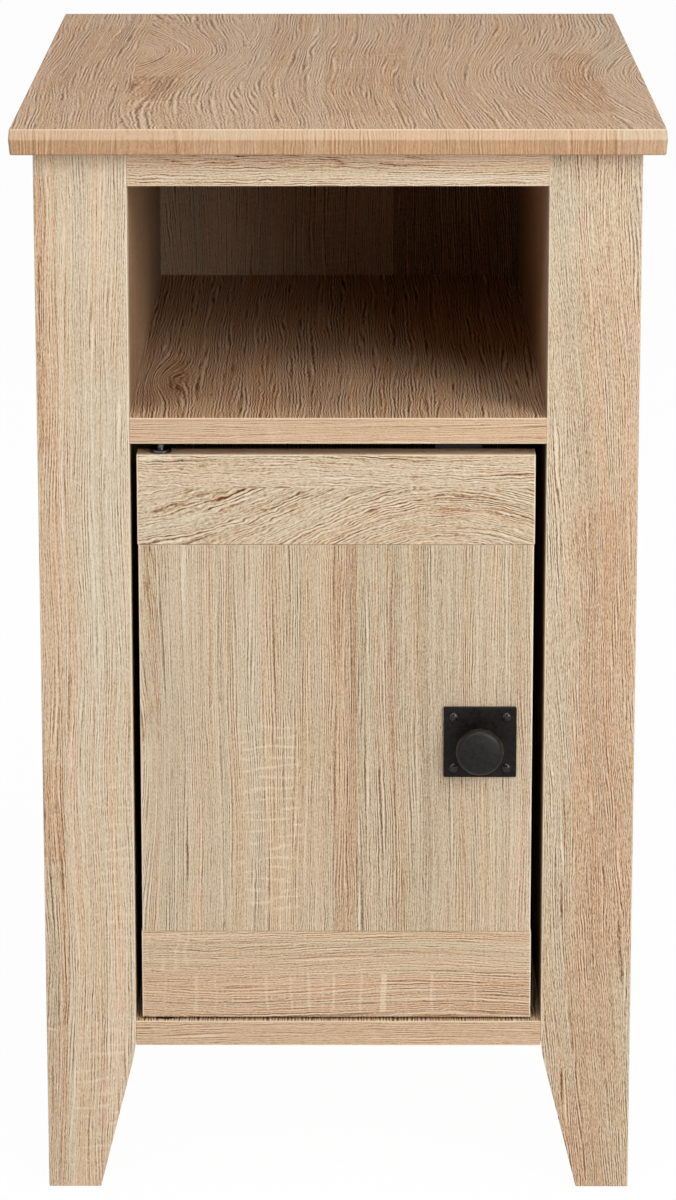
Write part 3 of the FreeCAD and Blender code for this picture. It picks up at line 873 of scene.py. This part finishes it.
# ---------------- sub-assemblies
@dataclass(frozen=True)
class Lamp:
    """A soft square lamp."""

    name: str
    place: Triple               # in metres
    power: float                # in watts
    side: float = 1.0           # in metres

    def hang(self, target: Vector) -> None:
        """Hangs the lamp up.

        Args:
            target: Where it points.
        """
        data = bpy.data.lights.new(self.name, "AREA")
        data.shape = "SQUARE"
        data.energy = self.power
        data.size = self.side
        place = Vector(self.place)
        turn = (target - place).to_track_quat("-Z", "Y").to_matrix()
        stand(self.name, data).matrix_world = Matrix.Translation(place) @ turn.to_4x4()


@dataclass
class Studio:
    """Pale floor, soft lamps and the camera. Places and reaches are in metres."""

    eye: Triple = (0.004523, -2.668983, 1.063441)
    pitch: float = 0.216395     # angles in radians
    yaw: float = -0.003717
    roll: float = -0.000827
    lens: float = 125.036       # in millimetres
    sensor: float = 36.0
    shift: Tuple[float, float] = (0.0063, -0.2)
    clip: Span = (0.05, 200.0)
    floor_reach: float = 40.0
    floor_sides: int = 64
    floor_light: Colour = (250, 250, 250)
    floor_dark: Colour = (247, 247, 247)
    floor_cloud: Layer = Layer((900, 900, 900), 2, 1)
    floor_glow: float = 0.975   # share of plain white where the floor is seen
    sky: float = 0.05           # light of the sky where it isn't seen
    lit: Triple = (0.0, -0.1, 0.35)     # where the lamps point
    lamps: Tuple[Lamp, ...] = (
        Lamp("key", (1.553, -2.492, 1.803), 59.0, 1.7),
        Lamp("low", (1.594, -2.861, 0.629), 12.0),
        Lamp("left", (-1.131, -2.06, 2.613), 17.0),
        Lamp("high", (0.214, -0.9, 3.441), 25.0),
        Lamp("over", (0.0, 0.179, 3.538), 8.0),
        Lamp("rear_left", (-2.3, 1.9, 0.9), 26.0),
        Lamp("rear_right", (2.3, 1.9, 0.9), 20.0))

    def build(self) -> None:
        """Builds the floor, the sky, the lamps and the camera."""
        self.floor()
        self.world()
        for lamp in self.lamps:
            lamp.hang(Vector(self.lit))
        self.camera()

    def floor(self) -> None:
        """A white floor that keeps the object's soft shadow."""
        graph = Graph(bpy.data.materials.new("studio_floor_white"))
        cloud = graph.position().noise(self.floor_cloud)
        colour = graph.blend(cloud, linear(self.floor_light), linear(self.floor_dark))
        matte = graph.node("ShaderNodeBsdfDiffuse", {}, {"Color": colour})
        glow = graph.node("ShaderNodeEmission", {}, {"Color": WHITE, "Strength": 1.0})
        mixed = graph.node("ShaderNodeMixShader", {}, {0: graph.seen() * self.floor_glow, 1: matte, 2: glow})
        graph.close("ShaderNodeOutputMaterial", mixed)
        shape = bmesh.new()
        bmesh.ops.create_circle(shape, cap_ends=True, segments=self.floor_sides, radius=self.floor_reach)
        shaped("studio_floor", shape, graph.owner)

    def world(self) -> None:
        """A soft grey sky, white where the camera, a shiny surface or glass sees it."""
        world = bpy.data.worlds.new("studio_sky")
        bpy.context.scene.world = world
        graph = Graph(world)
        strength = graph.seen() * (1 - self.sky) + self.sky
        light = graph.node("ShaderNodeBackground", {}, {"Color": WHITE, "Strength": strength})
        graph.close("ShaderNodeOutputWorld", light)

    def camera(self) -> None:
        """The camera, a little to the right of the middle and above the table."""
        ahead = Vector((math.sin(self.yaw) * math.cos(self.pitch), math.cos(self.yaw) * math.cos(self.pitch),
                        -math.sin(self.pitch)))
        right = Vector((math.cos(self.yaw), -math.sin(self.yaw), 0.0))
        up = right.cross(ahead)
        turn, lean = math.cos(self.roll), math.sin(self.roll)
        axes = Matrix((right * turn + up * lean, up * turn - right * lean, -ahead)).transposed()
        data = bpy.data.cameras.new("studio_camera")
        data.sensor_width, data.lens = self.sensor, self.lens
        data.shift_x, data.shift_y = self.shift
        data.clip_start, data.clip_end = self.clip
        camera = stand("studio_camera", data)
        camera.matrix_world = Matrix.Translation(self.eye) @ axes.to_4x4()
        bpy.context.scene.camera = camera


def dress(node: str, material: Material) -> None:
    """Gives a CAD node its finish.

    Args:
        node: Name of the node.
        material: The finish.
    """
    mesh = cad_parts[node].data
    mesh.materials.clear()
    mesh.materials.append(material)
    LOG.info("node %s: finish %s", node, material.name)


def lay_print(node: str, oak: OakPrint) -> None:
    """Gives a board its oak print.

    Args:
        node: Name of the board's node.
        oak: The print.
    """
    dress(node, oak.material("oak_" + node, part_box(node)))


@dataclass
class Carcass:
    """Legs, panels, shelves and rails that stand still. Its spans are in millimetres."""

    strip: Span = (-190, -167.6)        # a darker strip up the left front leg
    shelf_face: Span = (491, 500)       # top face of the middle shelf
    left_inside: Span = (-130, -120)    # faces seen in the cubby
    right_inside: Span = (120, 130)
    back_inside: Span = (203, 206.3)

    def dress(self) -> None:
        """Gives every board its own piece of the print, with painted shade and painted light on some faces.
        """
        self.dress_legs()
        self.dress_shelves()
        self.dress_panels()
        self.dress_rails()

    def dress_legs(self) -> None:
        """The four leg boards and their returns."""
        leg = OakPrint(Axis.Z, Axis.X, 1.3, tone=0.05, warmth=-0.08, contrast=1.08, wave=0.5, curl=0.35,
                       pores=0.3, tint=1.5, streak=0.36, thick=1.25,
                       rims=(Rim(Axis.X, 1), Rim(Axis.X, -1, 0.3)))
        lay_print("left_front_leg", replace(
            leg,
            zones=(Zone(self.strip, None, -0.045, 0.3),
                   Zone(self.strip, (216, 275), -0.06, 0.4, 1, 3, 0.25),
                   Zone(self.strip, (107, 215), -0.03, -0.2, 1, 2, 0.25),
                   Zone((-190, -174), (470, 640), -0.05, 0.4, 4, 7, 0.3),
                   Zone((-169.4, -167.2), (107, 221), -0.03, 0.7, 0.6, 0.6),
                   Zone((-150, -120), (330, 520), 0.03, -0.15, 14, 14),
                   # painted light: the top of the leg is lighter, to offset the shadow under the top's
                   # overhang
                   Zone(None, (580, 650), 0.05, -0.05, 50)),
            saws=(SawMarks((-146, -125), (160, 275), 7, 0.8), SawMarks((-160, -132), (20, 108), 7.5, 1.1),
                  SawMarks((-181, -168), (524, 534), 7, 1, 3),
                  SawMarks((-181, -168), (103, 111), 7, 1.2, 2))))
        lay_print("right_front_leg", replace(
            leg, seed=4.1, tone=-0.055, warmth=-0.05, contrast=1.15, wave=0.7, slant=0.07, pores=0.0,
            streak=0.17, long=0.5, thick=1.05, rims=(Rim(Axis.X, -1), Rim(Axis.X, 1, 0.3)),
            zones=(Zone((146, 176), (-20, 440), -0.05, 0.3, 18, 20),
                   Zone((120, 152), (-20, 200), -0.03, 0.1, 14, 14),
                   Zone((154, 200), (-20, 150), 0.01, -0.35, 40, 14),
                   # painted light: the top of the leg is lighter, to offset the shadow under the top's
                   # overhang
                   Zone(None, (580, 650), 0.05, -0.1, 50),
                   Zone((120, 142), (60, 640), 0.03, -0.2, 14, 16)),
            saws=(SawMarks((158, 178), (572, 582), 6, 0.8, 4),)))
        for place, node in enumerate(("left_rear_leg", "right_rear_leg")):
            lay_print(node, replace(leg, seed=7.0 + place * 2.3))
        for place, node in enumerate(("left_front", "right_front", "left_rear", "right_rear")):
            lay_print(node + "_leg_return", replace(leg, across=Axis.Y, seed=12.0 + place * 1.9, rims=()))

    def dress_shelves(self) -> None:
        """The top board and the two shelves."""
        lay_print("top_board", OakPrint(
            Axis.Y, Axis.X, 21.0, tone=-0.09, warmth=0.68, contrast=1.1, wave=0.35, pores=0.0, end_calm=0.68,
            tint=2.0, bands=1.4, streak=0.28, thread=0.36, thick=1.5, edge_tone=0.075, edge_warmth=-0.35,
            rims=(Rim(Axis.Z, 1, 0.8),),
            arcs=(Arcs(270, -60, 1.8, -1, 150, 150), Arcs(-150, 60, 1.8, 1, 80, 110, (-130, -60))),
            zones=(Zone((-130, -100), (-145, -42), -0.08, 0.2, 0.8, 0, 0.3),
                   Zone((-188, -130), (-110, 190), -0.02, 0.2, 16, 20, 0.2),
                   Zone((-130, -90), (-110, 40), -0.03, 0.2, 14, 14, 0.3),
                   Zone((-86, -46), None, 0.02, -0.2, 10, 10),
                   Zone((-44, -20), (0, 270), -0.03, 0.3, 8, 10),
                   Zone((-19, -9), (-260, 270), 0.03, -0.2, 1),
                   Zone((-9, 45), (-200, 90), -0.035, 0.2, 0.8, 0, 0.2),
                   Zone((60, 128), (100, 235), -0.01, 0.2, 14, 16),
                   Zone((134, 166), (-190, 60), -0.045, 0.35, 14, 22, 0.3),
                   Zone((166, 200), None, 0.03, -0.35, 8, 4),
                   Zone(None, None, -0.15, 0.6, 1.6, depth=(640, 663.9))),
            saws=(SawMarks((-130, -82), (-152, -140), 9, 1.2, 3, 0),
                  SawMarks((-4, 45), (-16, 60), 12, 1, 6, 0))))
        shelf = OakPrint(Axis.Y, Axis.X, 31.0, tone=-0.06, warmth=0.4, contrast=1.25, wave=0.3, pores=0.0,
                         ends=Ends.BANDED, end_calm=0.5, streak=0.26, thread=0.46, fibre=0.36, thick=1.45,
                         edge_tone=0.03, edge_warmth=-0.1, rims=(Rim(Axis.Z, 1), Rim(Axis.Z, -1, 0.4)))
        lay_print("middle_shelf", replace(
            shelf, figures=(Figure(-108, -130, 12, 45, 10),),
            # painted shade: the shelf's top face, the floor of the cubby, is darker and warmer
            zones=(Zone(None, None, -0.06, 0.5, 2, depth=self.shelf_face),
                   Zone((-106, -96), (-165, -75), -0.06, 0.1, 5, 6, 0.4),
                   Zone((-10, 63), (-130, 210), -0.03, 0, 1),
                   # painted light: a lighter, warmer pool at the front right of the cubby's floor
                   Zone((45, 130), (-232, -120), 0.1, 0.4, 60, depth=self.shelf_face),
                   Zone((-52, -34), (-212, -150), 0, 0.4, 4, 5)),
            saws=(SawMarks((-8, 22), (-130, -75), 4.5, 1.2, 6),
                  SawMarks((-62, -14), (-236, -205), 3.6, 1, 6))))
        lay_print("base_shelf", replace(shelf, seed=36.0, edge_tone=0.02, contrast=1.4))

    def dress_panels(self) -> None:
        """The inner side panels and the back panel, whose faces in the cubby carry painted shade."""
        panel = OakPrint(Axis.Z, Axis.Y, 41.0, tone=-0.02, warmth=0.05, wave=0.5, pores=0.0, thread=0.4,
                         fibre=0.34)
        lay_print("left_side_panel", replace(
            # painted shade: the panel's face inside the cubby is darker and warmer, and darker still near
            # the front
            panel, zones=(Zone(None, None, -0.16, 0.65, 2, depth=self.left_inside),
                          Zone((-260, -110), None, -0.2, 0, 90, depth=self.left_inside))))
        lay_print("right_side_panel", replace(
            # painted shade: the panel's face inside the cubby is darker and warmer, and darker still behind
            # its front part
            panel, seed=44, zones=(Zone(None, None, -0.1, 0.65, 2, depth=self.right_inside),
                                     Zone((-170, 230), None, -0.17, 0.1, 60, depth=self.right_inside))))
        lay_print("back_panel", replace(
            panel, across=Axis.X, seed=47, saws=(SawMarks((-20, 8), (493, 560), 4, 0.7),),
            # painted shade: the back's face inside the cubby is warmer; its right part is darker, partly a
            # darker plank of the print and partly painted shade
            zones=(Zone(None, None, -0.01, 0.45, depth=self.back_inside),
                   Zone((38, 140), None, -0.29, 0.3, depth=self.back_inside))))

    def dress_rails(self) -> None:
        """The rails under the top."""
        # The rail's tone is partly print and partly painted light that offsets the shadow under the top's
        # overhang.
        rail = OakPrint(Axis.X, Axis.Z, 51.0, tone=0.1, contrast=1.3, cracks=0.6, wave=0.6, curl=0.7,
                        zones=(Zone((646, 656), (-126, 60), -0.04, 0.1, 5, 8, 0.8),
                               # painted light: a lighter, warmer band along the rail's top, as warm bounce
                               # light in that shadow
                               Zone((644, 660), None, 0.02, 0.4, 8)),
                        rims=(Rim(Axis.Z, -1, 0.4),))
        lay_print("front_rail", rail)
        lay_print("rear_rail", replace(rail, seed=54.0))
        for place, node in enumerate(("left_side_rail", "right_side_rail")):
            lay_print(node, replace(rail, along=Axis.Y, seed=57.0 + place * 2.1, zones=(), rims=()))


@dataclass
class Door:
    """The three boards of the door. Its places and sizes are in millimetres."""

    # the door's side rims: light edge band with painted highlight
    edges: Tuple[Rim, Rim] = (Rim(Axis.X, -1, 0.7), Rim(Axis.X, 1, 0.9))
    tick_height: Span = (115, 139)
    ticks: Tuple[Triple, ...] = (           # middle, half width and strength of each pale tick
        (-107, 0.6, 0.07), (-88, 1.0, 0.1), (-76, 0.6, 0.06), (-44, 0.8, 0.13), (-29, 0.6, 0.09),
        (-18, 1.0, 0.12), (-10, 0.5, 0.07), (-3, 0.7, 0.13), (14, 0.8, 0.12), (28, 1.7, 0.2),
        (58, 0.8, 0.13), (84, 0.8, 0.08))

    def dress(self) -> None:
        """Gives the door's boards their print."""
        lay_print("door_top_rail", OakPrint(
            Axis.X, Axis.Z, 61.0, tone=0.01, warmth=-0.1, contrast=1.2, wave=0.8, curl=0.9, cracks=0.7,
            thick=1.15, rims=(*self.edges, Rim(Axis.Z, 1, 0.8)),
            arcs=(Arcs(318, 66, 1, 1, 120, 90, (380, 449)),),
            zones=(Zone((449, 475), None, 0.04, 0.05),
                   Zone((434, 450), (-112, -20), -0.02, 0, 3, 4, 0.6),
                   Zone((415, 449), (5, 118), -0.01, 0, 5, 4, 0.4))))
        lay_print("door_panel", OakPrint(
            Axis.Z, Axis.X, 65.0, tone=-0.03, warmth=-0.24, wave=0.4, curl=0.4, streak=0.36, thick=1.1,
            rims=self.edges, figures=(Figure(-122, 280, 18, 80, -16),),
            zones=(Zone((-124, -104), (290, 415), -0.02, 0, 6, 6, 0.5),
                   Zone((-3, 11), (160, 420), -0.05, 0.35),
                   Zone((-3, 70), (160, 420), -0.04, -0.1, 0.6, 0, 0.2)),
            saws=(SawMarks((-60, -24), (180, 300), 6.5, 1.2), SawMarks((-97, -88), (225, 300), 4, 0.5))))
        ticks = [Zone(self.tick_height, (middle - half, middle + half), strength, -0.1, 1, 3)
                 for middle, half, strength in self.ticks]
        lay_print("door_bottom_rail", OakPrint(
            Axis.X, Axis.Z, 69.0, tone=-0.03, contrast=1.05, wave=0.5, curl=0.45, streak=0.34, thick=1.25,
            rims=self.edges, zones=(Zone((90, 139), None, -0.04, 0.15), *ticks),
            saws=(SawMarks((142, 166), (-118, -88), 8, 0.8, 4, 0),)))


@dataclass
class KnobSet:
    """Round knob on a square backplate, with its screws. Sizes and places are in millimetres."""

    plate_middle: Triple = (86.6, -233.3, 289.6)  # of the face that lies on the door
    plate_side: float = 44.45
    plate_thick: float = 2.4
    plate_round: float = 0.6  # rounding of the front rim and of the corners
    corner_round: float = 0.9
    foot_middle: Triple = (85.9, -235.7, 289.1)  # where the knob stands on the plate
    foot_wide: float = 1.6  # how much wider than the neck it is
    foot_gap: float = 0.05
    neck: Span = (2.4, 4.4)  # reach where the straight neck starts and ends
    neck_radius: float = 6.2
    radius: float = 14.5
    rim_round: float = 0.5  # how much the rim bulges
    rim: Span = (8.0, 3.2)  # its back and front edge, back from the tip
    reach: float = 22.6
    crown: float = 0.42  # how far the crown has fallen at half the radius
    sides: int = 96

    def build(self) -> None:
        """Builds the backplate and the knob and dresses the screws."""
        self.backplate(PowderCoat("black_powder_coat", (31, 25, 22), (8, 6, 4), 0.42).material())
        self.knob(PowderCoat("black_knob_coat", (30, 25, 23), (3, 3, 3), 0.36, 5.0, 0.12, specular=0.24,
                             grain=0.55).material())
        dress("backplate_screws", PowderCoat("black_screw_coat", (36, 31, 28), (12, 10, 8), 0.24, 8.0,
                                             specular=0.4).material())
        dress("knob_screw", Metal("plated_steel", (196, 196, 198), (150, 150, 154), 0.34).material())

    def backplate(self, coat: Material) -> None:
        """Builds a flat square plate with rounded corners and a rounded front rim.

        Args:
            coat: Its finish.
        """
        shape = bmesh.new()
        bmesh.ops.create_cube(shape, size=1.0)
        size = Vector((self.plate_side, self.plate_thick, self.plate_side)) * MM
        middle = Vector(self.plate_middle) * MM - Vector((0, size.y / 2, 0))
        bmesh.ops.scale(shape, vec=size, verts=shape.verts)
        bmesh.ops.translate(shape, vec=middle, verts=shape.verts)
        corners = [e for e in shape.edges if abs((e.verts[0].co - e.verts[1].co).y) > size.y / 2]
        round_off(shape, corners, self.corner_round, 5)
        front = middle.y - size.y / 2
        rim = [e for e in shape.edges if all(abs(v.co.y - front) < TOUCH for v in e.verts)]
        round_off(shape, rim, self.plate_round, 4)
        plate = finished_piece("stamped_backplate", shape, coat, "door", smooth=False)
        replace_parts(plate, "knob_backplate")

    def knob(self, coat: Material) -> None:
        """Turns the knob: a flared foot, a neck, a round rim and a low crown.

        Args:
            coat: Its finish.
        """
        neck, radius, tip = self.neck_radius, self.radius, self.reach
        back, front = (tip - edge for edge in self.rim)
        foot, shoulder = neck + self.foot_wide, radius - self.rim_round
        low, high = self.neck
        # Radius and reach of each point: foot, neck, flare, rim, brow and crown.
        profile = [(0.0, self.foot_gap), (foot, self.foot_gap), (foot, 1.0), (neck + 0.6, 1.5), (neck, low),
                   (neck, high)]
        profile += arc((neck, high), (radius - 3.4, back - 4.0), (shoulder, back), 10)
        profile += arc((shoulder, back), (radius, (back + front) / 2), (shoulder, front), 8)
        profile += arc((shoulder, front), (radius - 1.2, front + 1.1), (radius - 2.4, front + 1.9), 6)
        profile += arc((radius - 2.4, front + 1.9), (radius / 2, tip - self.crown), (0.0, tip), 14)
        shape = spun(profile, Vector(self.foot_middle) * MM, Vector((0, -1, 0)), self.sides)
        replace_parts(finished_piece("turned_knob", shape, coat, "door"), "knob")


class Fastenings:
    """Dowels, cams, nails, pivots and the catch."""

    def dress(self) -> None:
        """Gives every fastening its finish."""
        finishes = (
            (BeechDowel("beech_leg_dowels"), ("leg_dowels",)),
            (BeechDowel("beech_rail_dowels", seed=24.0), ("rail_dowels",)),
            (BeechDowel("beech_door_dowels", seed=27.0, along=Axis.Z), ("door_dowels",)),
            (Metal("zinc_casting", (172, 173, 175), (128, 129, 132), 0.5), ("cam_locks",)),
            (Metal("plated_fastener_steel", (190, 190, 192), (146, 146, 150), 0.36),
             ("cam_bolts", "back_panel_nails", "door_catch_screws", "strike_screw")),
            (Metal("plated_strike_steel", (190, 190, 192), (150, 150, 153), 0.3, sizes=(6.0, 0.5, 0.3)),
             ("strike_plate",)),
            (Moulding("sintered_ferrite", (44, 44, 45), (26, 26, 27), 0.6, grain=0.3),
             ("door_catch_magnet",)),
            (Moulding("black_plastic", (30, 30, 31), (17, 17, 18)),
             ("upper_pivot_socket", "lower_pivot_socket", "door_catch_housing")),
            (Metal("blackened_steel", (112, 110, 107), (42, 41, 40), 0.2),
             ("upper_pivot_pin", "lower_pivot_pin")))
        for finish, nodes in finishes:
            material = finish.material()
            for node in nodes:
                dress(node, material)


def main() -> None:
    """Builds the studio and dresses the table, piece by piece."""
    logging.basicConfig(level=logging.INFO, format="%(name)s: %(message)s")
    bpy.context.scene.view_settings.view_transform = "Standard"
    Studio().build()
    Carcass().dress()
    Door().dress()
    KnobSet().build()
    Fastenings().dress()


if __name__ == "__main__":
    main()
